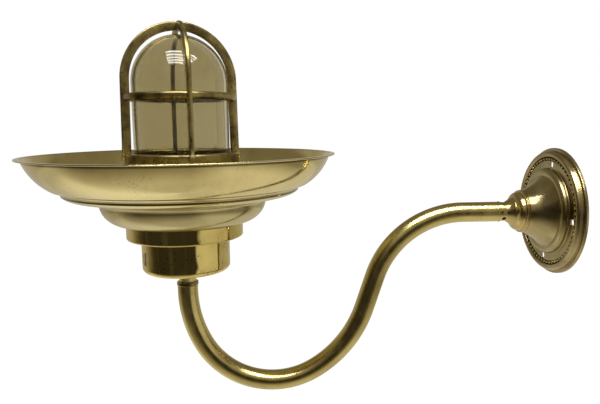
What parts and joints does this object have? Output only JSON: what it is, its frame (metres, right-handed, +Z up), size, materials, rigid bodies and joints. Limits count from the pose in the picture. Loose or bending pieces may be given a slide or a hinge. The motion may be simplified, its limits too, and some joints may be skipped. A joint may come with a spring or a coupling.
{
  "type": "bulkhead wall light",
  "caption": "Swan-neck wall light: round wall plate, curved tube arm, stepped base, wide spun dish and a domed clear glass under a crossed strap guard.",
  "frame": {"origin": "centre of the wall plate's back face, on the wall's surface", "axes": "+Y into the wall, so the arm leaves along -Y; +Z up, along the lamp's axis; +X to the right for someone facing the wall"},
  "size_m": [0.2794, 0.4933, 0.3498],
  "materials": {
    "brass": "polished, lightly aged",
    "guard_brass": "cast, tarnished",
    "plain_brass": "turned, dull",
    "contact_brass": "clean stamped",
    "clear_glass": "clear, pressed",
    "rubber": "matt",
    "fibre": "vulcanised fibre",
    "porcelain": "glazed",
    "zinc_steel": "zinc plated",
    "dark_steel": "blackened",
    "flex_sheath": "matt",
    "core_brown": "smooth",
    "core_blue": "smooth",
    "core_green": "smooth"
  },
  "bodies": {
    "wall": {"wall_plate": "brass", "hub_collar": "brass", "hub_back_nut": "plain_brass", "hub_grub_screw": "dark_steel"},
    "arm": {"arm_spigot": "brass", "arm_tube": "brass", "arm_ferrule": "guard_brass", "arm_nipple": "brass", "base_body": "brass", "base_washer": "fibre", "base_locknut": "plain_brass", "entry_plug": "plain_brass", "dish": "brass", "shade_ring": "plain_brass", "seat_gasket": "rubber", "holder_bracket": "zinc_steel", "bracket_screws": "zinc_steel", "lamp_holder": "porcelain", "screw_shell": "contact_brass", "centre_contact": "contact_brass", "holder_terminals": "contact_brass", "terminal_screws": "zinc_steel", "holder_screws": "zinc_steel", "mains_flex": "flex_sheath", "live_core": "core_brown", "neutral_core": "core_blue", "earth_core": "core_green", "earth_tag": "zinc_steel", "earth_screw": "plain_brass"},
    "glass": {"glass": "clear_glass", "lip_gasket": "rubber"},
    "guard": {"guard_ring": "guard_brass", "guard_band": "guard_brass", "guard_hoop_front": "guard_brass", "guard_hoop_side": "guard_brass"}
  },
  "joints": [
    {"name": "arm_swivel", "type": "hinge", "parent": "wall", "child": "arm", "pos_m": [0, 0, 0], "axis": [0, 1, 0], "range_deg": [-180, 180]},
    {"name": "glass_lift", "type": "slide", "parent": "arm", "child": "glass", "axis": [0, 0, 1], "range_m": [0, 0.01201]},
    {"name": "guard_turn", "type": "hinge", "parent": "glass", "child": "guard", "pos_m": [0, -0.3536, 0], "axis": [0, 0, 1], "range_deg": [0, 1440]}
  ],
  "couplings": [
    {"joint": "glass_lift", "follows": "guard_turn", "m_per_rad": 0.00047746}
  ]
}
